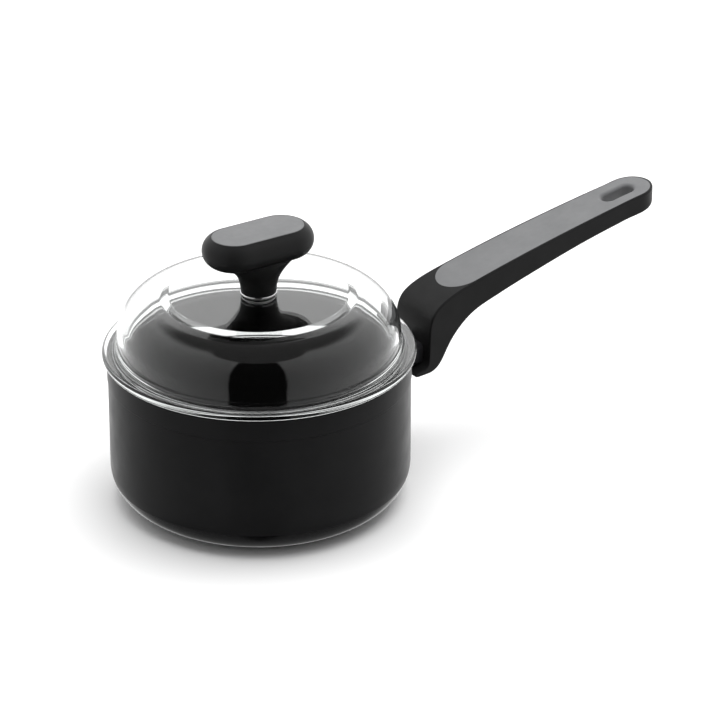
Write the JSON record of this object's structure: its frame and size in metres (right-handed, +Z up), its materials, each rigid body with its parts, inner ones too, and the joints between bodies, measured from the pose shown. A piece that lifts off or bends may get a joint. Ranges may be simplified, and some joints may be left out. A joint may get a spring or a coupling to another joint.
{
  "type": "saucepan with glass lid",
  "caption": "Small coated saucepan with a long raised handle, a grey soft grip inlay, a hanging slot and a lift-off domed glass lid with a T-shaped knob.",
  "frame": {"origin": "centre of the underside of the pan", "axes": "+X along the handle, away from the pan; +Z up"},
  "size_m": [0.3468, 0.171, 0.1567],
  "materials": {
    "pan_coating": "smooth black enamel outside, glossy non-stick inside",
    "plate_steel": "brushed",
    "bracket_aluminium": "cast",
    "guard_paint": "satin black",
    "black_phenolic": "satin moulded",
    "grey_soft": "soft matt",
    "screw_steel": "bright",
    "lid_glass": "clear pressed glass",
    "ring_steel": "polished",
    "silicone": "translucent grey",
    "insert_brass": "turned"
  },
  "bodies": {
    "pan": {"pan_body": "pan_coating", "base_plate": "plate_steel", "handle_bracket": "bracket_aluminium", "flame_guard": "guard_paint", "handle_body": "black_phenolic", "handle_inlay": "grey_soft", "handle_screw": "screw_steel", "handle_lock_washer": "screw_steel"},
    "lid": {"glass_lid": "lid_glass", "knob_body": "black_phenolic", "knob_inlay": "grey_soft", "knob_ring": "ring_steel", "knob_upper_gasket": "silicone", "knob_lower_gasket": "silicone", "knob_washer": "screw_steel", "knob_screw": "screw_steel", "knob_insert": "insert_brass"}
  },
  "joints": [
    {"name": "lid_lift", "type": "slide", "parent": "pan", "child": "lid", "axis": [0, 0, 1], "range_m": [0, 0.08]}
  ]
}
